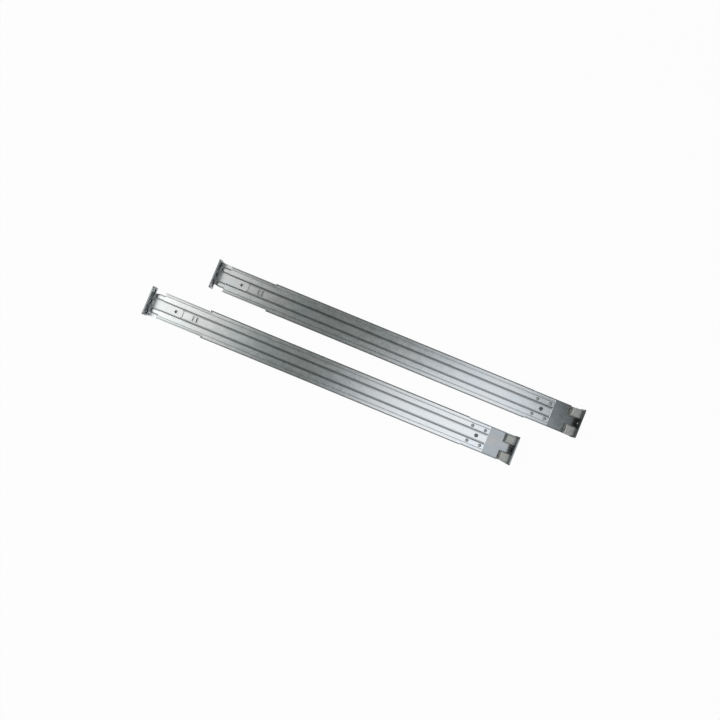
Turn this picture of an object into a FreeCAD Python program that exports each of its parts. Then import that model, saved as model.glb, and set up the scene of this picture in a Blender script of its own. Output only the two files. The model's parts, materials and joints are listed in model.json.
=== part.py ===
"""Sliding server rail pair: two mirrored telescopic rack rails lying outboard side up.

Each rail is a stamped carrier with a riveted front bracket and a sliding rear bracket.
Under the carrier sits a three-section ball slide: outer, middle and inner member, with a
ball cage between each two.  X runs along the rail from rear to front, Y runs across it and
Z points away from the cabinet's inside.  The rail stands on the inner member's web at Z = 0.
"""
import FreeCAD, Part
import math
import os
import re

import Sketcher
from FreeCAD import Placement, Rotation, Vector

doc = FreeCAD.newDocument("server_rail_pair")

# Driving dimensions, millimetres and degrees.
SIZES = {
    # the pair
    "rail_length": 575.0,       # rear flange face to front flange face, bracket pushed in
    "rail_width": 44.0,         # one rack unit, less running room
    "rail_pitch": 73.0,         # centre to centre of the two rails as they lie
    "rail_stagger": 74.0,       # how far the right rail lies ahead of the left one
    # the carrier
    "rear_reach": 17.0,         # rear flange face to carrier
    "front_reach": 41.0,        # carrier to front flange face
    "carrier_gauge": 1.5,
    "carrier_wall_drop": 10.0,
    "rear_trim": 69.5,          # length of the narrowed rear end
    "front_trim": 34.0,         # length of the narrowed front end
    "rear_lip_inset": 2.0,      # upturned guide lip, from the rail's side
    "rear_lip_rise": 3.4,
    "ledge_gap": 0.3,           # front ledge to the bracket's side wall
    "ledge_foot": 1.5,          # ledge beside a band that every part of the carrier has
    "band_inner": 7.3,          # rail axis to the foot of a raised band
    "band_outer": 16.0,
    "band_slope": 0.5,
    "band_wall": 1.1,
    "bend_radius": 1.6,
    "band_round": 0.4,
    "finger_reach": 12.3,       # round-ended tongue of a band beyond the carrier
    "finger_width": 7.8,
    "finger_rim": 1.3,
    "finger_dish": 0.6,
    "index_place": 23.2,        # index hole, from the carrier's rear end
    "index_bore": 4.6,
    "lance_place": 50.4,        # first lanced slot, from the carrier's rear end
    "lance_pitch": 5.9,
    "lance_length": 7.5,
    "lance_width": 2.6,
    "lance_rise": 0.8,
    # the brackets
    "bracket_gauge": 2.0,
    "bracket_gap": 0.25,        # running room above and below a bracket plate
    "bracket_inset": 0.8,       # bracket's side, from the rail's side
    "bracket_wall": 1.5,
    "bracket_wall_rise": 5.0,
    "flange_rise": 21.0,        # flange edge above the bracket plate's underside
    "flange_corner": 2.5,
    "rack_hole_pitch": 15.875,  # vertical hole spacing of a rack post
    "rack_hole_bore": 7.0,
    "rack_hole_rise": 6.5,      # hole centre above the bracket plate
    "rear_plate_inset": 1.4,
    "plate_gap": 0.8,           # plate edge to carrier end
    "bracket_wall_gap": 1.6,    # low side wall to the nut blocks' rear
    "tongue_side_gap": 1.1,     # tongue to a band
    "tongue_gauge": 1.5,
    "tongue_gap": 0.2,          # tongue above the carrier's recess
    "tongue_length": 50.5,
    "tongue_notch": 1.4,
    "prong_side_gap": 0.25,
    "rear_prong_reach": 323.0,  # how far a rear prong runs into the carrier
    "front_corner_notch": 7.0,
    "rivet_place": 6.3,         # last rivet, from the carrier's front end
    "rivet_pitch": 20.2,
    "rivet_shank": 2.6,
    "rivet_head": 5.0,
    "rivet_head_rise": 1.0,
    "screw_place": 15.7,        # carrier screw, from the carrier's front end
    "screw_shank": 3.0,
    "screw_head": 5.6,
    "screw_head_rise": 1.2,
    "screw_head_bevel": 0.4,
    "screw_socket": 2.5,
    "screw_socket_depth": 0.8,
    "fit_gap": 0.05,            # radial room of a fastener in its hole
    "block_length": 14.0,
    "block_inner": 6.6,
    "block_width": 13.5,
    "block_rise": 10.0,
    "block_round": 2.2,
    "block_bore": 4.2,          # tapping bore of the rack screws
    # the ball slide
    "side_gap": 0.5,            # outer member to the carrier's folded side
    "slide_room": 8.0,          # depth between the inner member's web and the middle one's
    "slide_gauge": 1.2,
    "slide_bend": 1.0,
    "ball_size": 3.2,
    "ball_room": 0.15,
    "ball_height": 5.6,
    "race_angle": 55.0,
    "race_web": 1.0,            # metal left between the middle member's two races
    "race_depth": 0.8,
    "cage_gauge": 0.7,
    "web_gap": 0.2,
    "cage_foot": 2.9,
    "cage_strap": 8.0,
    "cage_lip": 3.0,
    "member_setback": 1.0,      # outer member inside the carrier, each end
    "bumper_length": 4.0,
    "stop_gap": 0.5,
    "middle_setback": 12.5,     # middle member behind the outer one, at the front
    "inner_setback": 4.8,
    "tab_half_width": 5.0,
    "tab_drop": 2.9,
    "cage_stop_setback": 3.6,   # outer cage's stop, from the outer member's front end
    "middle_foot": 2.4,
    "travel": 270.0,            # each stage of the slide
    "cage_gap": 1.0,            # cage end to its stop at full travel
    "catch_setback": 19.5,      # middle member's front end to its catch
    "catch_half_width": 1.8,
    "ball_first": 14.0,         # first ball, from the cage's end
    "ball_pitch": 9.0,
    # the inner member's chassis fixings and its lock
    "keyhole_place": 36.0,
    "keyhole_pitch": 120.0,
    "keyhole_front_place": 38.0,
    "keyhole_bore": 9.0,
    "keyhole_neck": 5.0,
    "keyhole_run": 9.0,
    "lever_gauge": 2.6,
    "lever_half_width": 3.6,
    "lever_pivot_gap": 2.8,     # lever's pin above the inner member's web
    "lever_arm": 33.0,          # pivot to the latch nose
    "lever_nose": 5.0,
    "lever_reach": 63.0,        # pivot to the end of the finger tab
    "lever_eye": 3.0,
    "lever_boss": 4.8,          # diameter of the lever round its pin
    "lever_clear": 0.4,         # room between the finger tab and the web at rest
    "lever_pin": 2.5,
    "lever_pin_head": 3.75,
    "ear_gap": 0.3,
    "ear_length": 10.0,
    "ear_rise": 2.6,            # top of an ear above the pin
    "spring_gauge": 0.4,
    "spring_width": 5.0,
    "spring_length": 26.0,
    "spring_setback": 10.0,     # spring's rivet, from the pin
    "spring_rivet_head": 3.9,
    "spring_rivet_rise": 0.6,
}

sheet = doc.addObject("Spreadsheet::Sheet", "Sizes")
for row, (alias, size) in enumerate(SIZES.items(), start=1):
    sheet.set(f"A{row}", alias)
    sheet.set(f"B{row}", str(size))
    sheet.setAlias(f"B{row}", alias)


def derive(alias, expression):
    """Add a named value that the sheet works out from others."""
    row = len(SIZES) + len(derived) + 1
    derived.append(alias)
    sheet.set(f"A{row}", alias)
    sheet.set(f"B{row}", f"={expression}")
    sheet.setAlias(f"B{row}", alias)


derived = []
# stations along the rail, from the rear flange's outer face
derive("carrier_front", "rail_length - front_reach")
derive("carrier_length", "carrier_front - rear_reach")
derive("wide_rear", "rear_reach + rear_trim")
derive("wide_front", "carrier_front - front_trim")
derive("outer_rear", "rear_reach + member_setback")
derive("outer_length", "carrier_length - 2 * member_setback")
derive("middle_rear", "outer_rear + bumper_length + stop_gap")
derive("inner_rear", "middle_rear + slide_gauge + stop_gap")
derive("middle_length", "outer_rear + outer_length - middle_setback - middle_rear")
derive("inner_length", "outer_rear + outer_length - inner_setback - inner_rear")
derive("keyhole_bank", "inner_length - keyhole_place - keyhole_pitch - keyhole_front_place")
derive("outer_cage_rear", "middle_rear + slide_gauge + travel / 2 + cage_gap")
derive("outer_cage_stop", "outer_rear + outer_length - cage_stop_setback")
derive("outer_cage_length", "outer_cage_stop - cage_gap - travel / 2 - outer_cage_rear")
derive("inner_cage_rear", "inner_rear + slide_gauge + travel / 2 + cage_gap")
derive("catch_place", "middle_rear + middle_length - catch_setback")
derive("inner_cage_length", "catch_place - cage_gap - travel / 2 - inner_cage_rear")
derive("lever_pivot", "catch_place + slide_gauge + cage_gap - travel - lever_arm")
# levels above the surface that the rail lies on
derive("slide_depth", "3 * slide_gauge + cage_gauge + 2 * web_gap + slide_room")
derive("lever_pivot_rise", "slide_gauge + lever_pivot_gap")
derive("carrier_floor", "slide_depth")
derive("carrier_top", "slide_depth + carrier_gauge")
derive("band_rise", "bracket_gauge + 2 * bracket_gap")
derive("band_top", "carrier_top + band_rise")
derive("band_roof", "band_top - carrier_gauge")
derive("plate_floor", "carrier_floor + bracket_gap")
derive("plate_top", "plate_floor + bracket_gauge")
derive("flange_top", "plate_floor + flange_rise")
derive("rack_hole_height", "plate_top + rack_hole_rise")
derive("tongue_floor", "carrier_top + tongue_gap")
derive("outer_roof", "slide_depth - slide_gauge")
derive("outer_cage_top", "outer_roof - web_gap")
derive("middle_top", "outer_cage_top - cage_gauge - web_gap")
derive("middle_roof", "middle_top - slide_gauge")
derive("inner_cage_top", "middle_roof - web_gap")
# distances from the rail axis
derive("rear_lip_width", "rail_width - 2 * rear_lip_inset")
derive("bracket_half_width", "rail_width / 2 - bracket_inset")
derive("front_ledge_width", "2 * (bracket_half_width - bracket_wall - ledge_gap)")
derive("rear_plate_edge", "rail_width / 2 - rear_plate_inset")
derive("tongue_half_width", "band_inner - tongue_side_gap")
derive("slide_width", "rail_width - 2 * carrier_gauge - 2 * side_gap")
derive("race_radius", "ball_size / 2 + ball_room")
derive("outer_row", "slide_width / 2 - slide_gauge - race_radius")
derive("middle_race", "outer_row - race_radius")
derive("inner_row", "middle_race - race_web - race_radius")
derive("middle_half_width", "middle_race + race_depth")
derive("middle_inside", "middle_race - race_web - race_depth")
derive("prong_inner", "band_inner + band_wall + band_slope + prong_side_gap")
derive("prong_outer", "band_outer - band_wall - band_slope - prong_side_gap")
derive("prong_middle", "(prong_inner + prong_outer) / 2")
derive("block_rear", "rail_length - bracket_gauge - block_length")
derive("spring_seat", "lever_pivot + spring_setback")
doc.recompute()

ALIASES = set(SIZES) | set(derived)


def value(expression):
    """The number that an expression of named sizes comes to."""
    return float(sheet.evalExpression(str(expression)))


def bound(expression):
    """The same expression as other objects of the document must spell it."""
    return re.sub(r"[a-z][a-z0-9_]*", lambda word: "Sizes." + word.group()
                  if word.group() in ALIASES else word.group(), str(expression))


def bind(item, path, expression):
    item.setExpression(path, bound(expression))


def origin_part(body, role):
    """One of a body's own origin planes or axes, such as XY_Plane."""
    return next(o for o in body.Origin.OriginFeatures if o.Role == role)


def new_body(label, compound=False):
    """A body of the left rail, placed where that rail lies."""
    body = doc.addObject("PartDesign::Body", "left_" + label)
    body.AllowCompound = compound
    bind(body, "Placement.Base.x", "0 - (rail_length + rail_stagger) / 2")
    bind(body, "Placement.Base.y", "0 - rail_pitch / 2")
    return body


def new_sketch(body, plane, offset):
    """A sketch on one of the body's planes, moved along that plane's normal."""
    sketch = body.newObject("Sketcher::SketchObject", "sketch")
    sketch.AttachmentSupport = [(origin_part(body, plane), "")]
    sketch.MapMode = "FlatFace"
    bind(sketch, "AttachmentOffset.Base.z", offset)
    return sketch


def fix_point(sketch, edge, end, place):
    """Hold a point of a sketch at a place given by two expressions."""
    for kind, expression in zip(("DistanceX", "DistanceY"), place):
        number = sketch.addConstraint(
            Sketcher.Constraint(kind, -1, 1, edge, end, value(expression)))
        bind(sketch, f"Constraints[{number}]", expression)


def arc_edge(start, end, radius):
    """The shorter arc between two points; a negative radius bulges to the left."""
    chord = end - start
    reach = math.sqrt(max(radius * radius - chord.Length ** 2 / 4, 0.0))
    side = Vector(-chord.y, chord.x, 0).normalize()
    centre = (start + end) / 2 + side * reach * (1 if radius > 0 else -1)
    first, last = (start, end) if radius > 0 else (end, start)
    angles = [math.atan2(p.y - centre.y, p.x - centre.x) for p in (first, last)]
    circle = Part.Circle(centre, Vector(0, 0, 1), abs(radius))
    return Part.ArcOfCircle(circle, angles[0], angles[1])


def outline(sketch, points):
    """A closed outline; a point's third entry is the radius of the arc that ends there."""
    places = [Vector(value(p[0]), value(p[1]), 0) for p in points]
    edges = []
    for number, point in enumerate(points):
        start, end = places[number - 1], places[number]
        if len(point) == 3:
            edges.append((sketch.addGeometry(arc_edge(start, end, value(point[2])), False),
                          value(point[2]) < 0))
        else:
            edges.append((sketch.addGeometry(Part.LineSegment(start, end), False), False))
    for number, point in enumerate(points):
        edge, backwards = edges[number]
        following, next_backwards = edges[(number + 1) % len(edges)]
        finish, begin = (1 if backwards else 2), (2 if next_backwards else 1)
        sketch.addConstraint(
            Sketcher.Constraint("Coincident", edge, finish, following, begin))
        fix_point(sketch, edge, finish, point[:2])
        if len(point) == 3:
            size = sketch.addConstraint(
                Sketcher.Constraint("Radius", edge, abs(value(point[2]))))
            bind(sketch, f"Constraints[{size}]", f"abs({point[2]})")


def rings(sketch, circles):
    """Whole circles, each given by its centre and its diameter."""
    for across, along, diameter in circles:
        centre = Vector(value(across), value(along), 0)
        circle = Part.Circle(centre, Vector(0, 0, 1), value(diameter) / 2)
        edge = sketch.addGeometry(circle, False)
        fix_point(sketch, edge, 3, (across, along))
        size = sketch.addConstraint(Sketcher.Constraint("Diameter", edge, value(diameter)))
        bind(sketch, f"Constraints[{size}]", diameter)


def box_points(low_x, low_y, high_x, high_y):
    return [(low_x, low_y), (high_x, low_y), (high_x, high_y), (low_x, high_y)]


def feature(body, kind, plane, offset, length, shapes=(), circles=()):
    """Pad or pocket outlines along their plane's normal, from an offset for a length."""
    before = body.Tip.Shape.Volume if body.Tip else 0.0
    sketch = new_sketch(body, plane, offset)
    for points in shapes:
        outline(sketch, points)
    rings(sketch, circles)
    solid = body.newObject("PartDesign::" + kind, kind.lower())
    solid.Profile = sketch
    solid.Reversed = kind == "Pocket"
    bind(solid, "Length", length)
    doc.recompute()
    change = solid.Shape.Volume - before
    if change == 0 or (change < 0) != (kind == "Pocket"):
        raise ValueError(f"{body.Label}: a {kind} left the volume as it was")
    return solid


def pad(body, plane, offset, length, *shapes, circles=()):
    return feature(body, "Pad", plane, offset, length, shapes, circles)


def cut(body, plane, offset, length, *shapes, circles=()):
    return feature(body, "Pocket", plane, offset, length, shapes, circles)


def mirror(body, originals, plane="XZ_Plane"):
    """Repeat features on the other side of the rail axis."""
    copy = body.newObject("PartDesign::Mirrored", "mirrored")
    copy.Originals = originals
    copy.MirrorPlane = (origin_part(body, plane), [""])
    body.Tip = copy
    doc.recompute()
    return copy


def repeat(body, originals, runs, both_sides=False):
    """Repeat features along the rail for each (pitch, count) of runs, and across it."""
    pattern = body.newObject("PartDesign::MultiTransform", "pattern")
    steps = []
    for pitch, count in runs:
        step = body.newObject("PartDesign::LinearPattern", "run")
        step.Direction = (origin_part(body, "X_Axis"), [""])
        step.Occurrences = count
        bind(step, "Length", f"({pitch}) * {count - 1}")
        steps.append(step)
    if both_sides:
        step = body.newObject("PartDesign::Mirrored", "across")
        step.MirrorPlane = (origin_part(body, "XZ_Plane"), [""])
        steps.append(step)
    pattern.Originals = originals
    pattern.Transformations = steps
    body.Tip = pattern
    doc.recompute()
    return pattern


def round_edges(body, radius, wanted):
    """Fillet the edges of the body's tip that a test of their end points picks."""
    base = body.Tip
    names = [f"Edge{number}" for number, edge in enumerate(base.Shape.Edges, start=1)
             if len(edge.Vertexes) == 2 and wanted(edge)]
    if not names:
        raise ValueError(f"{body.Label}: no edge to round")
    fillet = body.newObject("PartDesign::Fillet", "fillet")
    fillet.Base = (base, names)
    bind(fillet, "Radius", radius)
    doc.recompute()
    return fillet


def same(one, other):
    """Whether two places or levels are the same, within a hundredth."""
    return abs(one - other) < 0.01


def along_rail(*places):
    """A test for edges along the rail, on either side, at one of some (y, z) places."""
    spots = [(value(y), value(z)) for y, z in places]

    def test(edge):
        first, last = (v.Point for v in edge.Vertexes)
        straight = same(first.y, last.y) and same(first.z, last.z)
        return straight and any(same(abs(first.y), y) and same(first.z, z) for y, z in spots)
    return test


def both_halves(points):
    """A half outline, from the axis out and back, joined to its twin across the axis."""
    twin = []
    for number in range(len(points) - 1, -1, -1):
        following = points[number + 1] if number + 1 < len(points) else points[0]
        entry = (f"0 - ({points[number][0]})", points[number][1])
        if number + 1 < len(points) and len(following) == 3:
            entry = entry + (following[2],)
        twin.append(entry)
    return list(points) + twin


def revolve(body, station, across, profile):
    """Turn a profile of (radius, height) points about an upright line."""
    sketch = new_sketch(body, "XZ_Plane", f"0 - ({across})")
    bind(sketch, "AttachmentOffset.Base.x", station)
    outline(sketch, profile)
    solid = body.newObject("PartDesign::Revolution", "turned")
    solid.Profile = sketch
    solid.ReferenceAxis = (sketch, ["V_Axis"])
    doc.recompute()
    return solid


def rivet_profile(foot, seat, shank, head, rise):
    """A round-headed rivet: a third of its head is the straight rim, the rest a dome."""
    rim = f"{rise} / 3"
    crown = f"({rise} - {rim})"
    dome = f"({head} ^ 2 / 4 + {crown} ^ 2) / (2 * {crown})"
    return [("0", foot), (f"{shank} / 2", foot), (f"{shank} / 2", seat), (f"{head} / 2", seat),
            (f"{head} / 2", f"{seat} + {rim}"), ("0", f"{seat} + {rise}", dome)]


def make_carrier():
    """The stamped carrier: two raised bands, a recessed middle and folded sides."""
    body = new_body("carrier")
    web = both_halves([
        ("band_inner + band_wall", "carrier_floor"),
        ("band_inner + band_wall + band_slope", "band_roof"),
        ("band_outer - band_wall - band_slope", "band_roof"),
        ("band_outer - band_wall", "carrier_floor"),
        ("band_outer + ledge_foot", "carrier_floor"),
        ("band_outer + ledge_foot", "carrier_top"),
        ("band_outer", "carrier_top"),
        ("band_outer - band_slope", "band_top"),
        ("band_inner + band_slope", "band_top"),
        ("band_inner", "carrier_top"),
    ])
    pad(body, "YZ_Plane", "rear_reach", "carrier_length", web)
    round_edges(body, "band_round", along_rail(("band_inner + band_slope", "band_top"),
                                               ("band_outer - band_slope", "band_top")))
    side = pad(body, "YZ_Plane", "wide_rear", "wide_front - wide_rear", [
        ("band_outer + ledge_foot / 2", "carrier_floor"),
        ("rail_width / 2 - carrier_gauge", "carrier_floor"),
        ("rail_width / 2 - carrier_gauge", "carrier_top - carrier_wall_drop"),
        ("rail_width / 2", "carrier_top - carrier_wall_drop"),
        ("rail_width / 2", "carrier_top - bend_radius"),
        ("rail_width / 2 - bend_radius", "carrier_top", "bend_radius"),
        ("band_outer + ledge_foot / 2", "carrier_top"),
    ])
    lip = pad(body, "YZ_Plane", "rear_reach", "rear_trim + carrier_gauge", [
        ("band_outer + ledge_foot / 2", "carrier_floor"),
        ("rear_lip_width / 2 - bend_radius", "carrier_floor"),
        ("rear_lip_width / 2", "carrier_floor + bend_radius", "bend_radius"),
        ("rear_lip_width / 2", "carrier_top + rear_lip_rise"),
        ("rear_lip_width / 2 - carrier_gauge", "carrier_top + rear_lip_rise"),
        ("rear_lip_width / 2 - carrier_gauge", "carrier_top"),
        ("band_outer + ledge_foot / 2", "carrier_top"),
    ])
    ledge = pad(body, "YZ_Plane", "wide_front - carrier_gauge", "front_trim + carrier_gauge",
                box_points("band_outer + ledge_foot / 2", "carrier_floor",
                           "front_ledge_width / 2", "carrier_top"))
    round_end = "rear_reach - finger_reach + finger_width / 2"
    finger = pad(body, "XY_Plane", "band_roof", "carrier_gauge", [
        ("rear_reach + carrier_gauge", "band_inner"),
        ("rear_reach + carrier_gauge", "band_inner + finger_width"),
        (round_end, "band_inner + finger_width"),
        ("rear_reach - finger_reach", "band_inner + finger_width / 2", "finger_width / 2"),
        (round_end, "band_inner", "finger_width / 2"),
    ])
    dish_round = "(finger_width / 2 - finger_rim)"
    dish = cut(body, "XY_Plane", "band_top - finger_dish", "finger_dish", [
        ("rear_reach", "band_inner + finger_rim"),
        ("rear_reach", "band_inner + finger_width - finger_rim"),
        (round_end, "band_inner + finger_width - finger_rim"),
        (f"{round_end} - {dish_round}", "band_inner + finger_width / 2", dish_round),
        (round_end, "band_inner + finger_rim", dish_round),
    ])
    rivet_hole = "rivet_shank + 2 * fit_gap"
    holes = cut(body, "XY_Plane", "band_roof", "carrier_gauge", circles=[
        ("carrier_front - rivet_place", "prong_middle", rivet_hole),
        ("carrier_front - rivet_place - rivet_pitch", "prong_middle", rivet_hole)])
    mirror(body, [side, lip, ledge, finger, dish, holes])
    cut(body, "XY_Plane", "carrier_floor", "carrier_gauge", circles=[
        ("rear_reach + index_place", "0", "index_bore"),
        ("carrier_front - screw_place", "0", "screw_shank + 2 * fit_gap")])
    first_slot = "rear_reach + lance_place"
    last_slot = "rear_reach + lance_place + lance_pitch"
    bridge_low = f"{first_slot} + lance_width / 2"
    bridge_high = f"{last_slot} - lance_width / 2"
    cut(body, "XY_Plane", "carrier_floor", "lance_rise",
        box_points(f"{first_slot}", "0 - lance_length / 2", last_slot, "lance_length / 2"))
    pad(body, "XY_Plane", "carrier_top", "lance_rise",
        box_points(bridge_low, "0 - lance_length / 2", bridge_high, "lance_length / 2"))
    cut(body, "XY_Plane", "carrier_floor", "carrier_gauge",
        box_points(f"{first_slot} - lance_width / 2", "0 - lance_length / 2",
                   bridge_low, "lance_length / 2"),
        box_points(bridge_high, "0 - lance_length / 2",
                   f"{last_slot} + lance_width / 2", "lance_length / 2"))
    return body


def make_outer_member():
    """The outer slide member: a roll-formed channel whose lips wrap the outer ball rows."""
    body = new_body("outer_member")
    wall = "(outer_row + race_radius * cos(race_angle))"
    drop = "race_radius * sin(race_angle)"
    back = "(race_radius + slide_gauge)"
    meet = f"sqrt({back} ^ 2 - ({wall} + slide_gauge - outer_row) ^ 2)"
    pad(body, "YZ_Plane", "outer_rear", "outer_length", both_halves([
        (wall, "outer_roof"),
        (wall, f"ball_height + {drop}"),
        (wall, f"ball_height - {drop}", "0 - race_radius"),
        (f"outer_row + {back} * cos(race_angle)", f"ball_height - {back} * sin(race_angle)"),
        (f"{wall} + slide_gauge", f"ball_height + {meet}", back),
        (f"{wall} + slide_gauge", "slide_depth - slide_bend"),
        (f"{wall} + slide_gauge - slide_bend", "slide_depth", "slide_bend"),
    ]))
    pad(body, "YZ_Plane", "outer_cage_stop", "slide_gauge",
        box_points("0 - tab_half_width", "outer_cage_top - cage_gauge",
                   "tab_half_width", "outer_roof + slide_gauge / 2"))
    cut(body, "XY_Plane", "outer_roof", "slide_gauge", circles=[
        ("rear_reach + index_place", "0", "index_bore"),
        ("carrier_front - screw_place", "0", "screw_shank + 2 * fit_gap")])
    return body


def make_middle_member():
    """The middle slide member: a drawn channel with a race on each side of its walls."""
    body = new_body("middle_member")
    chord = "sqrt(race_radius ^ 2 - (race_radius - race_depth) ^ 2)"
    pad(body, "YZ_Plane", "middle_rear", "middle_length", both_halves([
        ("middle_inside", "middle_roof"),
        ("middle_inside", f"ball_height + {chord}"),
        ("middle_inside", f"ball_height - {chord}", "0 - race_radius"),
        ("middle_inside", "middle_foot"),
        ("middle_half_width", "middle_foot"),
        ("middle_half_width", f"ball_height - {chord}"),
        ("middle_half_width", f"ball_height + {chord}", "0 - race_radius"),
        ("middle_half_width", "middle_top - slide_bend"),
        ("middle_half_width - slide_bend", "middle_top", "slide_bend"),
    ]))
    pad(body, "YZ_Plane", "middle_rear", "slide_gauge",
        box_points("0 - tab_half_width", "middle_roof - tab_drop",
                   "tab_half_width", "outer_cage_top"))
    pad(body, "YZ_Plane", "catch_place", "slide_gauge",
        box_points("0 - catch_half_width", "middle_roof - tab_drop",
                   "catch_half_width", "middle_roof + slide_gauge / 2"))
    return body


def make_inner_member():
    """The inner, chassis member, with keyholes for the chassis studs and the lever's ears."""
    body = new_body("inner_member")
    wall = "(inner_row - race_radius * cos(race_angle))"
    drop = "race_radius * sin(race_angle)"
    back = "(race_radius + slide_gauge)"
    meet = f"sqrt({back} ^ 2 - (inner_row - {wall} + slide_gauge) ^ 2)"
    pad(body, "YZ_Plane", "inner_rear", "inner_length", both_halves([
        (f"{wall} - slide_bend", "0"),
        (wall, "slide_bend", "slide_bend"),
        (wall, f"ball_height - {drop}"),
        (wall, f"ball_height + {drop}", "0 - race_radius"),
        (f"inner_row - {back} * cos(race_angle)", f"ball_height + {back} * sin(race_angle)"),
        (f"{wall} - slide_gauge", f"ball_height - {meet}", back),
        (f"{wall} - slide_gauge", "slide_gauge"),
    ]))
    pad(body, "YZ_Plane", "inner_rear", "slide_gauge",
        box_points("0 - tab_half_width", "slide_gauge / 2",
                   "tab_half_width", "inner_cage_top - web_gap / 2"))
    ear = pad(body, "XZ_Plane", "lever_half_width + ear_gap", "slide_gauge", [
        ("lever_pivot - ear_length / 2", "slide_gauge / 2"),
        ("lever_pivot + ear_length / 2", "slide_gauge / 2"),
        ("lever_pivot + ear_length / 2", "lever_pivot_rise"),
        ("lever_pivot + lever_eye", "lever_pivot_rise + ear_rise"),
        ("lever_pivot - lever_eye", "lever_pivot_rise + ear_rise"),
        ("lever_pivot - ear_length / 2", "lever_pivot_rise"),
    ])
    mirror(body, [ear])
    cut(body, "XZ_Plane", "0 - 2 * lever_half_width", "4 * lever_half_width",
        circles=[("lever_pivot", "lever_pivot_rise", "lever_pin + 2 * fit_gap")])
    mouth = "inner_rear + keyhole_place"
    neck_end = f"{mouth} - keyhole_run"
    hole = cut(body, "XY_Plane", "0", "slide_gauge",
               circles=[(mouth, "0", "keyhole_bore")])
    neck = cut(body, "XY_Plane", "0", "slide_gauge", [
        (mouth, "0 - keyhole_neck / 2"),
        (mouth, "keyhole_neck / 2"),
        (neck_end, "keyhole_neck / 2"),
        (f"{neck_end} - keyhole_neck / 2", "0", "keyhole_neck / 2"),
        (neck_end, "0 - keyhole_neck / 2", "keyhole_neck / 2"),
    ])
    repeat(body, [hole, neck], [("keyhole_pitch", 2), ("keyhole_bank", 2)])
    cut(body, "XY_Plane", "0", "slide_gauge",
        circles=[("spring_seat", "0", "rivet_shank + 2 * fit_gap")])
    return body


def make_cage(label, row, top, rear, length):
    """A ball cage: two perforated strips joined by a strap at each end."""
    body = new_body(label)
    pad(body, "YZ_Plane", rear, length, both_halves([
        (f"{row} - cage_gauge / 2", f"{top} - cage_gauge"),
        (f"{row} - cage_gauge / 2", "cage_foot"),
        (f"{row} + cage_gauge / 2", "cage_foot"),
        (f"{row} + cage_gauge / 2", top),
    ]))
    cut(body, "XY_Plane", f"{top} - cage_gauge", "cage_gauge",
        box_points(f"{rear} + cage_strap", f"cage_lip - {row}",
                   f"{rear} + {length} - cage_strap", f"{row} - cage_lip"))
    hole = cut(body, "XZ_Plane", f"0 - {row} - cage_gauge", f"2 * ({row} + cage_gauge)",
               circles=[(f"{rear} + ball_first", "ball_height", "2 * race_radius")])
    repeat(body, [hole], [("ball_pitch", 3), (ball_bank(length), 2)])
    return body


def ball_bank(length):
    """Distance between the two groups of balls of a row."""
    return f"{length} - 2 * ball_first - 2 * ball_pitch"


def make_balls(label, row, rear, length):
    """The balls of one cage, three at each end of both rows."""
    body = new_body(label, compound=True)
    ball = body.newObject("PartDesign::AdditiveSphere", "ball")
    ball.AttachmentSupport = [(origin_part(body, "XY_Plane"), "")]
    ball.MapMode = "FlatFace"
    bind(ball, "Radius", "ball_size / 2")
    bind(ball, "AttachmentOffset.Base.x", f"{rear} + ball_first")
    bind(ball, "AttachmentOffset.Base.y", row)
    bind(ball, "AttachmentOffset.Base.z", "ball_height")
    doc.recompute()
    repeat(body, [ball], [("ball_pitch", 3), (ball_bank(length), 2)], both_sides=True)
    return body


def rack_flange(body, station):
    """A flange that lies against a rack post, with three rack holes."""
    half = "rail_width / 2"
    pad(body, "YZ_Plane", station, "bracket_gauge", both_halves([
        (half, "plate_floor"),
        (half, "flange_top - flange_corner"),
        (f"{half} - flange_corner", "flange_top", "flange_corner"),
    ]))
    cut(body, "YZ_Plane", station, "bracket_gauge", circles=[
        (f"rack_hole_pitch * {step}", "rack_hole_height", "rack_hole_bore")
        for step in (-1, 0, 1)])


def prong(body, start, length):
    """A prong that runs in the pocket under a band."""
    return pad(body, "YZ_Plane", start, length,
               box_points("prong_inner", "plate_floor", "prong_outer", "plate_top"))


def make_front_bracket():
    """The fixed front bracket: plate, low side walls, two riveted prongs and the flange."""
    body = new_body("front_bracket")
    plate_rear = "carrier_front + plate_gap"
    pad(body, "XY_Plane", "plate_floor", "bracket_gauge",
        box_points(plate_rear, "0 - bracket_half_width",
                   "rail_length", "bracket_half_width"))
    rack_flange(body, "rail_length - bracket_gauge")
    leg = prong(body, "wide_front", f"{plate_rear} - wide_front + bracket_gauge")
    wall_rear = "wide_front + plate_gap"
    wall = pad(body, "YZ_Plane", wall_rear, f"block_rear - bracket_wall_gap - ({wall_rear})",
               box_points("bracket_half_width - bracket_wall", "plate_floor",
                          "bracket_half_width", "plate_floor + bracket_wall_rise"))
    rivet_hole = "rivet_shank + 2 * fit_gap"
    holes = cut(body, "XY_Plane", "plate_floor", "bracket_gauge", circles=[
        ("carrier_front - rivet_place", "prong_middle", rivet_hole),
        ("carrier_front - rivet_place - rivet_pitch", "prong_middle", rivet_hole)])
    mirror(body, [leg, wall, holes])
    cut(body, "XY_Plane", "plate_floor", "bracket_gauge",
        box_points("block_rear", "0 - bracket_half_width",
                   "block_rear + front_corner_notch", "0 - block_inner - block_width"))
    return body


def make_nut_blocks():
    """The two tapped blocks that the front rack screws run into."""
    body = new_body("nut_blocks", compound=True)
    block = pad(body, "XY_Plane", "plate_top", "block_rise",
                box_points("block_rear", "block_inner",
                           "rail_length - bracket_gauge", "block_inner + block_width"))
    crown, rear = value("plate_top + block_rise"), value("block_rear")
    soft = round_edges(body, "block_round", lambda edge: all(
        same(v.Point.z, crown) for v in edge.Vertexes) and any(
        same(v.Point.x, rear) for v in edge.Vertexes))
    bore = cut(body, "YZ_Plane", "block_rear", "block_length",
               circles=[("rack_hole_pitch", "rack_hole_height", "block_bore")])
    mirror(body, [block, soft, bore])
    return body


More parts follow.
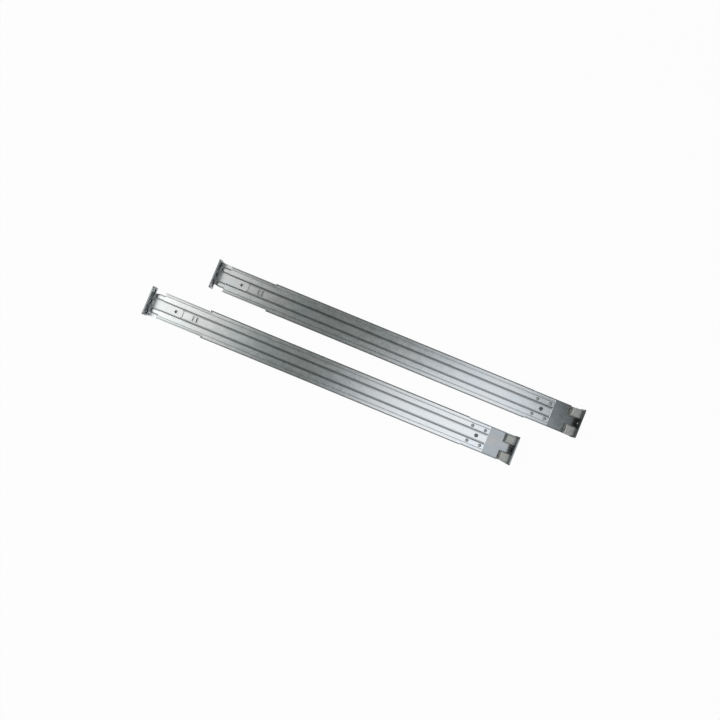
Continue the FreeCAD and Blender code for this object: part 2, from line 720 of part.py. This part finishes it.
def make_front_rivets():
    """The four rivets that hold the front bracket's prongs under the bands."""
    body = new_body("front_rivets", compound=True)
    rivet = revolve(body, "carrier_front - rivet_place - rivet_pitch", "prong_middle",
                    rivet_profile("plate_floor", "band_top", "rivet_shank", "rivet_head",
                                  "rivet_head_rise"))
    repeat(body, [rivet], [("rivet_pitch", 2)], both_sides=True)
    return body


def make_carrier_screw():
    """The socket-head screw that ties the carrier to the outer member."""
    body = new_body("carrier_screw")
    crown = "carrier_top + screw_head_rise"
    revolve(body, "carrier_front - screw_place", "0", [
        ("0", "outer_roof"), ("screw_shank / 2", "outer_roof"),
        ("screw_shank / 2", "carrier_top"), ("screw_head / 2", "carrier_top"),
        ("screw_head / 2", f"{crown} - screw_head_bevel"),
        ("screw_head / 2 - screw_head_bevel", crown), ("0", crown)])
    centre = "(carrier_front - screw_place)"
    cut(body, "XY_Plane", f"{crown} - screw_socket_depth", "screw_socket_depth",
        [(f"{centre} + screw_socket / 2 * cos({turn})", f"screw_socket / 2 * sin({turn})")
         for turn in range(0, 360, 60)])
    return body


def make_rear_bumper():
    """The plastic plug that the middle member comes to rest on."""
    body = new_body("rear_bumper")
    half = "middle_half_width - slide_bend"
    pad(body, "YZ_Plane", "outer_rear", "bumper_length", both_halves([
        (f"{half} - slide_bend", "middle_foot"),
        (half, "middle_foot + slide_bend", "slide_bend"),
        (half, "outer_roof"),
    ]))
    return body


def make_rear_bracket():
    """The sliding rear bracket: flange, plate, tongue in the recess and two prongs."""
    body = new_body("rear_bracket")
    rack_flange(body, "0")
    plate_front = "rear_reach - plate_gap"
    pad(body, "XY_Plane", "plate_floor", "bracket_gauge", [
        ("bracket_gauge / 2", "0 - rear_plate_edge"),
        (plate_front, "0 - rear_plate_edge"),
        (plate_front, "prong_outer"),
        ("bracket_gauge / 2", "prong_outer"),
    ])
    leg = prong(body, "bracket_gauge / 2", "rear_reach + rear_prong_reach - bracket_gauge / 2")
    mirror(body, [leg])
    pad(body, "XY_Plane", "tongue_floor", "tongue_gauge", [
        ("bracket_gauge / 2", "0 - tongue_half_width"),
        ("tongue_length - tongue_notch", "0 - tongue_half_width"),
        ("tongue_length - tongue_notch", "tongue_notch - tongue_half_width"),
        ("tongue_length", "tongue_notch - tongue_half_width"),
        ("tongue_length", "tongue_half_width - tongue_notch"),
        ("tongue_length - tongue_notch", "tongue_half_width - tongue_notch"),
        ("tongue_length - tongue_notch", "tongue_half_width"),
        ("bracket_gauge / 2", "tongue_half_width"),
    ])
    cut(body, "XY_Plane", "tongue_floor", "tongue_gauge",
        circles=[("rear_reach + index_place", "0", "index_bore")])
    return body


def make_release_lever():
    """The lever whose nose rises behind the catch to hold the inner member out."""
    body = new_body("release_lever")
    low = "lever_pivot_rise - lever_gauge / 2"
    nose = "lever_pivot + lever_arm"
    nose_end = f"{nose} + lever_nose"
    tab = "(slide_gauge + lever_clear)"
    pad(body, "XZ_Plane", "0 - lever_half_width", "2 * lever_half_width", [
        ("lever_pivot", low),
        (f"{nose_end} + lever_nose", low),
        (f"{nose_end} + 2 * lever_nose", tab),
        ("lever_pivot + lever_reach", tab),
        ("lever_pivot + lever_reach", f"{tab} + lever_gauge / 2"),
        (f"{nose_end} + 2 * lever_nose", f"{tab} + lever_gauge / 2"),
        (nose_end, "lever_pivot_rise + lever_gauge / 2 + lever_clear"),
        (nose, "lever_pivot_rise + lever_gauge / 2 + lever_clear"),
        (f"{nose} - lever_nose", "lever_pivot_rise + lever_gauge / 2"),
        ("lever_pivot", "lever_pivot_rise + lever_gauge / 2"),
    ])
    pad(body, "XZ_Plane", "0 - lever_half_width", "2 * lever_half_width",
        circles=[("lever_pivot", "lever_pivot_rise", "lever_boss")])
    cut(body, "XZ_Plane", "0 - lever_half_width", "2 * lever_half_width",
        circles=[("lever_pivot", "lever_pivot_rise", "lever_pin + 2 * fit_gap")])
    cut(body, "XY_Plane", low, "2 * lever_gauge",
        box_points(f"{nose} - lever_nose", "0 - catch_half_width - ear_gap",
                   nose, "catch_half_width + ear_gap"))
    return body


def make_lever_pin():
    """The headed pin that the lever swings on, held in the two ears."""
    body = new_body("lever_pin")
    reach = "(lever_half_width + ear_gap + slide_gauge)"
    pin = [("lever_pivot", "lever_pivot_rise", "lever_pin")]
    head = [("lever_pivot", "lever_pivot_rise", "lever_pin_head")]
    pad(body, "XZ_Plane", f"0 - {reach}", f"2 * {reach}", circles=pin)
    cap = pad(body, "XZ_Plane", reach, "spring_gauge", circles=head)
    mirror(body, [cap])
    return body


def make_lever_spring():
    """The leaf spring under the lever."""
    body = new_body("lever_spring")
    rear = "(spring_seat - spring_width / 2)"
    pad(body, "XZ_Plane", "0 - spring_width / 2", "spring_width", [
        (rear, "slide_gauge"),
        ("spring_seat + spring_width", "slide_gauge"),
        (f"{rear} + spring_length", "lever_pivot_rise - lever_gauge / 2 - 2 * spring_gauge"),
        (f"{rear} + spring_length", "lever_pivot_rise - lever_gauge / 2 - spring_gauge"),
        ("spring_seat + spring_width", "slide_gauge + spring_gauge"),
        (rear, "slide_gauge + spring_gauge"),
    ])
    cut(body, "XY_Plane", "slide_gauge", "spring_gauge",
        circles=[("spring_seat", "0", "rivet_shank + 2 * fit_gap")])
    return body


def make_spring_rivet():
    """The small rivet that holds the leaf spring on the inner member."""
    body = new_body("spring_rivet")
    revolve(body, "spring_seat", "0", rivet_profile(
        "0", "slide_gauge + spring_gauge", "rivet_shank", "spring_rivet_head",
        "spring_rivet_rise"))
    return body


left_rail = [
    make_carrier(),
    make_outer_member(),
    make_front_bracket(),
    make_nut_blocks(),
    make_front_rivets(),
    make_carrier_screw(),
    make_rear_bumper(),
    make_middle_member(),
    make_inner_member(),
    make_release_lever(),
    make_lever_pin(),
    make_lever_spring(),
    make_spring_rivet(),
    make_cage("outer_cage", "outer_row", "outer_cage_top", "outer_cage_rear",
              "outer_cage_length"),
    make_balls("outer_balls", "outer_row", "outer_cage_rear", "outer_cage_length"),
    make_cage("inner_cage", "inner_row", "inner_cage_top", "inner_cage_rear",
              "inner_cage_length"),
    make_balls("inner_balls", "inner_row", "inner_cage_rear", "inner_cage_length"),
    make_rear_bracket(),
]

# The right rail is the left one's mirror image, set ahead of it.
right_rail = []
for body in left_rail:
    twin = doc.addObject("Part::Mirroring", body.Label.replace("left_", "right_", 1))
    twin.Source = body
    twin.Normal = Vector(0, 1, 0)
    bind(twin, "Placement.Base.x", "rail_stagger")
    right_rail.append(twin)
doc.recompute()

for item in doc.Objects:
    if "Invalid" in item.State or "Error" in item.State:
        raise RuntimeError(f"{item.Label} did not build: {item.State}")
for piece in left_rail + right_rail:
    shape = piece.Shape
    if shape.isNull() or not shape.isValid() or shape.Volume <= 0:
        raise RuntimeError(f"{piece.Label} has no sound solid")

os.makedirs("parts", exist_ok=True)
for piece in left_rail + right_rail:
    piece.Shape.exportStep(f"parts/{piece.Label}.step")
    print(f"{piece.Label}: {len(piece.Shape.Solids)} solids, {piece.Shape.Volume:.1f} mm3")
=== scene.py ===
"""Looks of the sliding server rail pair: zinc-plated steel under soft studio light.

The rails lie on a white table with their cabinet side up.  X runs along them from the rear
flanges to the front ones, Y from the left rail to the right one, Z up.  Sizes of the rails and
of their surface patterns are in millimetres; the table, the lamps and the camera are in metres.
"""
import json
import math

import bpy
from mathutils import Matrix, Vector


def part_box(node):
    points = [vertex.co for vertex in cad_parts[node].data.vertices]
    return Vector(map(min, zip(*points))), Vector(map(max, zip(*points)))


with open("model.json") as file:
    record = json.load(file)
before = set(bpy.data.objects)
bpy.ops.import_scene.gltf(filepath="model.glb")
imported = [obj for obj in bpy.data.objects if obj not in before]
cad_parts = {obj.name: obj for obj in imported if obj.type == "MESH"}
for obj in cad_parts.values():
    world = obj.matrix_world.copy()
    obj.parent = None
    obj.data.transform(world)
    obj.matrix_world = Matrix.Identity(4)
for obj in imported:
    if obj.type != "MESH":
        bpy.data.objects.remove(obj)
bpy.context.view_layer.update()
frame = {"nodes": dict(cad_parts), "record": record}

MM = 0.001


def box_in_mm(node_name):
    """Lowest and highest corner of a node, in millimetres to a thousandth."""
    return [[round(part / MM, 3) for part in corner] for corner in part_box(node_name)]


# where the two rails lie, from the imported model
left_low, left_high = box_in_mm("left_rear_bracket")
right_low = box_in_mm("right_rear_bracket")[0]
REAR_FACE = left_low[0]                     # face of the left rail's rear flange
RAIL_STAGGER = right_low[0] - left_low[0]   # the right rail lies ahead of the left one
RAIL_PITCH = right_low[1] - left_low[1]
RAIL_SIDE = (left_high[1] - left_low[1]) / 2

# the carrier: lengths from the rear flange's face, widths from the rail's axis
CARRIER_REAR = 17.0
WIDE_REAR = CARRIER_REAR + 69.5             # its narrowed rear end stops here
NARROWING = 2.0                             # of each side, at that end
BAND_FOOT = 7.3                             # where a raised band starts
FINGER_LENGTH = 12.3                        # a band's round-ended finger, past the carrier
FINGER_WIDTH = 7.8
SLOT_PLACE = CARRIER_REAR + 50.4            # first of the two lanced slots
SLOT_PITCH = 5.9
SLOT_LENGTH = 7.5

# where the painted shade lines lie
FOLD_INSET = 0.5                            # middle of a painted shade line, from a band's foot
SIDE_INSET = 0.6                            # from the rail's side
RIM_INSET = 0.4                             # from a finger's edge
MARK_OVERRUN = 0.15                         # a painted shade mark's edge, past the slot or hole that it darkens

# the flanges of the brackets: heights above the table
BRACKET_GAUGE = 2.0
PLATE_TOP = left_low[2] + BRACKET_GAUGE
RACK_HOLE_HEIGHT = PLATE_TOP + 6.5          # middle of the three holes
RACK_HOLE_PITCH = 15.875
RACK_HOLE_RADIUS = 3.5

# a mix node's colour sockets go by number, because its other sockets have the same names
FIRST_COLOUR, SECOND_COLOUR, MIXED_COLOUR = 6, 7, 2


# ---------------------------------------------------------------- shader nodes

def linear(hex_colour):
    """An sRGB colour such as "c8ccd0" as linear red, green, blue, alpha."""
    parts = [int(hex_colour[i:i + 2], 16) / 255 for i in (0, 2, 4)]
    return tuple(c / 12.92 if c <= 0.04045 else ((c + 0.055) / 1.055) ** 2.4
                 for c in parts) + (1.0,)


def add(tree, kind, inputs=None, **settings):
    """Add a shader node of a kind, such as "Math", with its settings.

    An input is a number or vector, a hex colour, or the node or output that is linked to it.
    """
    node = tree.nodes.new("ShaderNode" + kind)
    for name, setting in settings.items():
        setattr(node, name, setting)
    for name, given in (inputs or {}).items():
        if isinstance(given, bpy.types.Node):
            given = given.outputs[0]
        if isinstance(given, bpy.types.NodeSocket):
            tree.links.new(given, node.inputs[name])
        elif isinstance(given, str):
            node.inputs[name].default_value = linear(given)
        else:
            node.inputs[name].default_value = given
    return node


def new_material(name):
    """An empty node material and its tree."""
    material = bpy.data.materials.new(name)
    material.use_nodes = True
    material.node_tree.nodes.clear()
    return material, material.node_tree


def place_in_mm(tree):
    """The place of each point in the rails' own frame, in millimetres."""
    metres = add(tree, "TexCoord").outputs["Object"]
    return add(tree, "VectorMath", {0: metres, "Scale": 1 / MM}, operation="SCALE")


def clouds(tree, place, grain, detail=3.0, roughness=0.5):
    """A cloudy 0 to 1 pattern; grain is its size along the rail, across it and upwards."""
    stretched = add(tree, "Mapping", {"Vector": place, "Scale": [1 / size for size in grain]})
    return add(tree, "TexNoise", {"Vector": stretched, "Scale": 1.0, "Detail": detail,
                                  "Roughness": roughness})


def two_tone(tree, pattern, first, second, low=0.3, high=0.7):
    """A colour that goes from the first to the second while a pattern goes from low to high."""
    share = add(tree, "MapRange", {"Value": pattern, "From Min": low, "From Max": high})
    mix = add(tree, "Mix", {"Factor": share, FIRST_COLOUR: first, SECOND_COLOUR: second},
              data_type="RGBA")
    return mix.outputs[MIXED_COLOUR]


def marked(tree, colour, tone, strength, mark, area=1.0):
    """A colour under a mark of another tone, which covers it by strength times mark and area."""
    bounded = add(tree, "Math", {0: mark, 1: area}, operation="MULTIPLY")
    cover = add(tree, "Math", {0: bounded, 1: strength}, operation="MULTIPLY")
    mix = add(tree, "Mix", {"Factor": cover, FIRST_COLOUR: colour, SECOND_COLOUR: tone},
              data_type="RGBA")
    return mix.outputs[MIXED_COLOUR]


# ---------------------------------------------------------------- places on a rail

def from_axis(tree, place):
    """Distance of each point from its rail's centre line."""
    across = add(tree, "SeparateXYZ", {0: place}).outputs["Y"]
    from_middle = add(tree, "Math", {0: across}, operation="ABSOLUTE")
    offset = add(tree, "Math", {0: from_middle, 1: RAIL_PITCH / 2}, operation="SUBTRACT")
    return add(tree, "Math", {0: offset}, operation="ABSOLUTE")


def from_rear(tree, place):
    """Distance of each point from the face of its own rail's rear flange."""
    parts = add(tree, "SeparateXYZ", {0: place}).outputs
    on_right = add(tree, "Math", {0: parts["Y"], 1: 0.0}, operation="GREATER_THAN")
    face = add(tree, "Math", {0: on_right, 1: RAIL_STAGGER, 2: REAR_FACE},
               operation="MULTIPLY_ADD")
    return add(tree, "Math", {0: parts["X"], 1: face}, operation="SUBTRACT")


def soft_line(tree, distance, middle, reach):
    """1 where a distance equals the middle one, falling smoothly to 0 at a reach from it."""
    off = add(tree, "Math", {0: distance, 1: middle}, operation="SUBTRACT")
    gap = add(tree, "Math", {0: off}, operation="ABSOLUTE")
    return add(tree, "MapRange", {"Value": gap, "From Min": 0.0, "From Max": reach,
                                  "To Min": 1.0, "To Max": 0.0},
               interpolation_type="SMOOTHSTEP")


def distance_from(tree, first_centre, second_centre, first, second):
    """Distance of a point from a centre, both given by the same two measures."""
    point = add(tree, "CombineXYZ", {"X": first, "Y": second})
    centre = add(tree, "CombineXYZ", {"X": first_centre, "Y": second_centre})
    return add(tree, "VectorMath", {0: point, 1: centre}, operation="DISTANCE").outputs["Value"]


# ---------------------------------------------------------------- materials

def zinc_sheet(name, light, dark, roughness, film=0.25, marks=None, bare_or_shaded_end_tone="505355"):
    """Zinc-plated sheet steel: bluish metal, rolled along the rail, faintly mottled."""
    material, tree = new_material(name)
    place = place_in_mm(tree)
    # the rolling lines are drawn wider than a mill leaves them, so that they show
    rolling = clouds(tree, place, (60.0, 0.35, 0.35), detail=4.0, roughness=0.6)
    mottle = clouds(tree, place, (9.0, 6.0, 6.0), detail=5.0, roughness=0.65)
    stain = clouds(tree, place, (55.0, 24.0, 24.0), detail=2.0)
    # the thin passivation film turns a little bluish here and a little warm there
    film_hue = two_tone(tree, stain, "b3c0c6", "c4bdb4", low=0.4, high=0.6)
    filmed = add(tree, "Mix", {"Factor": film, SECOND_COLOUR: film_hue,
                               FIRST_COLOUR: two_tone(tree, mottle, dark, light)},
                 data_type="RGBA", blend_type="MULTIPLY")
    # painted shade: corners and grooves are greyer, by how closed in they are within 2.5 mm
    openness = add(tree, "AmbientOcclusion", {"Distance": 2.5 * MM}, samples=8).outputs["AO"]
    painted_crease_shade = add(tree, "MapRange", {"Value": openness, "From Min": 0.9, "From Max": 0.2})
    colour = marked(tree, filmed.outputs[MIXED_COLOUR], "54575a", strength=0.45, mark=painted_crease_shade)
    # faces that look along the rail take a grey tone: partly the bare steel that the shears leave
    # on the sheet's end faces, partly painted shade that dulls what these faces and the flanges
    # mirror
    normal = add(tree, "NewGeometry").outputs["True Normal"]
    along = add(tree, "SeparateXYZ", {0: normal}).outputs["X"]
    facing_end = add(tree, "Math", {0: along}, operation="ABSOLUTE")
    bare_or_shaded_end = add(tree, "MapRange", {"Value": facing_end, "From Min": 0.75, "From Max": 0.95})
    colour = marked(tree, colour, bare_or_shaded_end_tone, strength=0.85, mark=bare_or_shaded_end)
    if marks:
        colour = marks(tree, place, colour)
    uneven = add(tree, "MapRange", {"Value": mottle, "From Min": 0.3, "From Max": 0.7,
                                    "To Min": 0.92 * roughness, "To Max": 1.1 * roughness})
    relief = add(tree, "Bump", {"Height": rolling, "Strength": 1.0, "Distance": 0.007 * MM})
    shader = add(tree, "BsdfPrincipled", {"Metallic": 1.0, "Base Color": colour,
                                          "Roughness": uneven, "Normal": relief})
    add(tree, "OutputMaterial", {"Surface": shader})
    return material


def painted_fold_shade(tree, place, colour):
    """Painted shade along the band feet, the sides, the fingers' rims and the slots."""
    axis, run = from_axis(tree, place), from_rear(tree, place)
    on_carrier = add(tree, "Math", {0: run, 1: CARRIER_REAR}, operation="GREATER_THAN")
    # painted shade beside a band's foot, where the band steps down
    fold = soft_line(tree, axis, middle=BAND_FOOT - FOLD_INSET, reach=3.0)
    colour = marked(tree, colour, "4d5050", strength=0.68, mark=fold, area=on_carrier)
    # and painted shade along the folded sides, which step out where the narrowed end stops
    wide = add(tree, "Math", {0: run, 1: WIDE_REAR}, operation="GREATER_THAN")
    side_line = add(tree, "Math", {0: wide, 1: NARROWING,
                                   2: RAIL_SIDE - NARROWING - SIDE_INSET},
                    operation="MULTIPLY_ADD")
    side = soft_line(tree, axis, middle=side_line, reach=2.0)
    colour = marked(tree, colour, "4d5050", strength=0.6, mark=side, area=on_carrier)
    # painted shade over each slot, as a dark bar across the axis
    by_axis = add(tree, "Math", {0: axis, 1: SLOT_LENGTH / 2 + MARK_OVERRUN},
                  operation="LESS_THAN")
    for slot_middle in (SLOT_PLACE, SLOT_PLACE + SLOT_PITCH):
        slot = soft_line(tree, run, middle=slot_middle, reach=2.6)
        colour = marked(tree, colour, "4b4743", strength=0.7, mark=slot, area=by_axis)
    # a finger gets a painted shadow outline along its rim, two straight sides with a round end,
    # which stops just inside the carrier
    round_end = CARRIER_REAR - FINGER_LENGTH + FINGER_WIDTH / 2
    finger_line = BAND_FOOT + FINGER_WIDTH / 2
    nearer_end = add(tree, "Math", {0: run, 1: round_end}, operation="MINIMUM")
    away = distance_from(tree, round_end, finger_line, nearer_end, axis)
    rim = soft_line(tree, away, middle=FINGER_WIDTH / 2 - RIM_INSET, reach=2.0)
    on_finger = add(tree, "Math", {0: run, 1: CARRIER_REAR + 0.5}, operation="LESS_THAN")
    return marked(tree, colour, "2c2f31", strength=0.9, mark=rim, area=on_finger)


def painted_flange_shade(tree, place, colour):
    """Painted shade on a flange: a darker tone above the plate, and near-black painted shade in
    the rack holes.
    """
    level = add(tree, "SeparateXYZ", {0: place}).outputs["Z"]
    # the painted shade comes on over the bend at the flange's foot
    above = add(tree, "MapRange", {"Value": level, "From Min": PLATE_TOP + 0.5,
                                   "From Max": PLATE_TOP + 3.0})
    colour = marked(tree, colour, "6a6f71", strength=0.85, mark=above)
    # the rack holes are painted near-black, as painted shade in their bores
    from_hole = add(tree, "Math", {0: from_axis(tree, place), 1: RACK_HOLE_PITCH / 2,
                                   2: -RACK_HOLE_PITCH / 2}, operation="WRAP")
    away = distance_from(tree, 0.0, RACK_HOLE_HEIGHT, from_hole, level)
    bore = add(tree, "Math", {0: away, 1: RACK_HOLE_RADIUS + MARK_OVERRUN},
               operation="LESS_THAN")
    return marked(tree, colour, "161718", strength=1.0, mark=bore)


def cast_zinc():
    """Die-cast zinc left as it came from the die: pale, matt, with a fine grit."""
    material, tree = new_material("die_cast_zinc")
    place = place_in_mm(tree)
    grit = clouds(tree, place, (0.25, 0.25, 0.25))
    patches = clouds(tree, place, (5.0, 5.0, 5.0), detail=4.0)
    relief = add(tree, "Bump", {"Height": grit, "Strength": 1.0, "Distance": 0.02 * MM})
    shader = add(tree, "BsdfPrincipled", {
        "Metallic": 0.6, "Base Color": two_tone(tree, patches, "bfc0bd", "dadbd7"),
        "Roughness": 0.5, "Normal": relief})
    add(tree, "OutputMaterial", {"Surface": shader})
    return material


def steel(name, light, dark, roughness, grain=0.3, depth=0.006):
    """Small steel parts: a fine turned or blanked grain and a slightly uneven sheen."""
    material, tree = new_material(name)
    place = place_in_mm(tree)
    texture = clouds(tree, place, (grain, grain, grain))
    patches = clouds(tree, place, (3.0, 3.0, 3.0))
    uneven = add(tree, "MapRange", {"Value": patches, "From Min": 0.3, "From Max": 0.7,
                                    "To Min": 0.8 * roughness, "To Max": 1.25 * roughness})
    relief = add(tree, "Bump", {"Height": texture, "Strength": 1.0, "Distance": depth * MM})
    shader = add(tree, "BsdfPrincipled", {
        "Metallic": 1.0, "Base Color": two_tone(tree, patches, dark, light),
        "Roughness": uneven, "Normal": relief})
    add(tree, "OutputMaterial", {"Surface": shader})
    return material


def nylon():
    """Black moulded nylon: dull, with the fine spark-eroded texture of its mould."""
    material, tree = new_material("moulded_nylon")
    texture = clouds(tree, place_in_mm(tree), (0.3, 0.3, 0.3), detail=2.0)
    relief = add(tree, "Bump", {"Height": texture, "Strength": 1.0, "Distance": 0.02 * MM})
    shader = add(tree, "BsdfPrincipled", {
        "Base Color": two_tone(tree, texture, "141516", "1d1e20"),
        "Roughness": 0.55, "Normal": relief})
    add(tree, "OutputMaterial", {"Surface": shader})
    return material


FINISHES = {
    # rolled and satin: the carrier is the brightest, the slide under it a shade greyer
    "carrier_zinc": zinc_sheet("satin_zinc_carrier", "d6d8d8", "c4c8c9", roughness=0.24,
                               marks=painted_fold_shade),
    "slide_zinc": zinc_sheet("satin_zinc_slide", "cbced0", "b4b9bc", roughness=0.27),
    # the front brackets get a darker colour, painted shade on the same zinc as the rear ones, and
    # are smoother, so they mirror the room
    "bracket_zinc": zinc_sheet("painted_shade_zinc_bracket", "a4a7a8", "94989a", roughness=0.19,
                               film=0.45, marks=painted_flange_shade),
    "block_zinc": cast_zinc(),
    # barrel plating leaves the rivets matt, and black oxide leaves the screw dark grey
    "rivet_steel": steel("plated_rivet", "d4d6d7", "c2c5c7", roughness=0.50),
    "screw_steel": steel("dark_oxide_screw", "77797c", "626467", roughness=0.38),
    # ground balls are nearly mirrors, so their grain is wide and very shallow
    "ball_steel": steel("polished_ball", "e2e3e6", "dcdde0", roughness=0.08, grain=1.0,
                        depth=0.0005),
    # cages and levers are stamped and plated: brighter than the spring, duller than the balls
    "cage_steel": steel("stamped_cage", "b9bdc1", "9fa4a8", roughness=0.33),
    "lever_steel": steel("plated_lever", "c3c7cc", "a7acb2", roughness=0.30),
    # the leaf spring keeps the brownish grey of its tempering
    "spring_steel": steel("spring_steel", "8a8a88", "6f6e6b", roughness=0.30),
    "bumper_plastic": nylon(),
}
# the rear brackets share the front ones' slot; their colour is a paler copy, painted light, and
# matt, and their end faces take a pale tone with little painted shade
REAR_BRACKET_FINISH = zinc_sheet("painted_light_matt_zinc_rear_bracket", "eaecec", "dcdfe0", roughness=0.33,
                                 marks=painted_flange_shade, bare_or_shaded_end_tone="c2c5c6")

SLOT_OF_NODE = {part["node"]: part["material_slot"] for part in frame["record"]["subparts"]}
for node_name, node in frame["nodes"].items():
    node.data.materials.clear()
    node.data.materials.append(REAR_BRACKET_FINISH if node_name.endswith("rear_bracket")
                               else FINISHES[SLOT_OF_NODE[node_name]])


# ---------------------------------------------------------------- table, light and camera

def white_table():
    """A white table that shows as white and still takes the rails' soft shadow."""
    material, tree = new_material("white_table_top")
    rays = add(tree, "LightPath").outputs
    seen = rays["Is Camera Ray"]
    for mirrored in ("Is Glossy Ray", "Is Transmission Ray"):
        seen = add(tree, "Math", {0: seen, 1: rays[mirrored]}, operation="MAXIMUM")
    # most of the white is its own; the rest is lit, which keeps a faint contact shadow
    own_white = add(tree, "Math", {0: seen, 1: 0.97}, operation="MULTIPLY")
    paint = add(tree, "BsdfDiffuse", {"Color": "f4f4f4"})
    white = add(tree, "Emission", {"Color": "ffffff", "Strength": 1.0})
    shown = add(tree, "MixShader", {"Fac": own_white, 1: paint, 2: white})
    add(tree, "OutputMaterial", {"Surface": shown})
    reach = 6.0
    mesh = bpy.data.meshes.new("table_top")
    mesh.from_pydata([(-reach, -reach, 0), (reach, -reach, 0), (reach, reach, 0),
                      (-reach, reach, 0)], [], [(0, 1, 2, 3)])
    mesh.materials.append(material)
    table = bpy.data.objects.new("table_top", mesh)
    # a hair below the rails, so that no two faces lie in one plane
    table.location.z = -0.05 * MM
    bpy.context.scene.collection.objects.link(table)


def room():
    """A dim room: grey overhead, darker above the walls, pale low down on the far side."""
    world = bpy.data.worlds.new("dim_room")
    world.use_nodes = True
    bpy.context.scene.world = world
    tree = world.node_tree
    way = add(tree, "SeparateXYZ", {0: add(tree, "TexCoord").outputs["Generated"]}).outputs
    ceiling = two_tone(tree, way["Z"], "585954", "7a7e7b", low=0.86, high=0.99)
    walls = two_tone(tree, way["Y"], "9a9c99", "d2d5d6", low=-0.6, high=0.7)
    around = two_tone(tree, way["Z"], walls, ceiling, low=0.20, high=0.60)
    tree.links.new(around, tree.nodes["Background"].inputs["Color"])


LAMP_HEIGHT = 1.32


def softbox(name, centre, width, depth, radiance, turn=0.0, tint="ffffff"):
    """A rectangular lamp that faces down, evenly bright, turned by some degrees."""
    light = bpy.data.lights.new(name, "AREA")
    light.shape = "RECTANGLE"
    light.size, light.size_y = width, depth
    light.energy = radiance * width * depth * math.pi
    light.color = linear(tint)[:3]
    lamp = bpy.data.objects.new(name, light)
    lamp.location = (*centre, LAMP_HEIGHT)
    lamp.rotation_euler.z = math.radians(turn)
    bpy.context.scene.collection.objects.link(lamp)


def studio_light():
    """Softboxes over the rear ends, and one turned askew over the front of the left rail."""
    softbox("rear_softbox", centre=(-1.07, -0.10), width=0.86, depth=1.1, radiance=2.2)
    softbox("rear_spill", centre=(-0.53, -0.10), width=0.20, depth=1.1, radiance=0.9)
    softbox("front_softbox", centre=(0.490, -0.246), width=0.66, depth=0.90, radiance=1.65,
            turn=32.4, tint="f6f7fd")


def overhead_camera():
    """A camera nearly overhead, turned so that the rails run down to the right."""
    place, aim = Vector((-0.007, -0.032, 0.994)), Vector((-0.007, 0.001, 0.015))
    roll = math.radians(-22.4)
    forward = (aim - place).normalized()
    right = forward.cross(Vector((math.sin(roll), math.cos(roll), 0))).normalized()
    up = right.cross(forward)
    camera = bpy.data.objects.new("camera", bpy.data.cameras.new("camera"))
    camera.data.sensor_width = 36.0
    camera.data.lens = 33.2
    camera.matrix_world = Matrix.Translation(place) @ Matrix(
        (right, up, -forward)).transposed().to_4x4()
    bpy.context.scene.collection.objects.link(camera)
    bpy.context.scene.camera = camera


white_table()
room()
studio_light()
overhead_camera()
bpy.context.scene.view_settings.view_transform = "Standard"
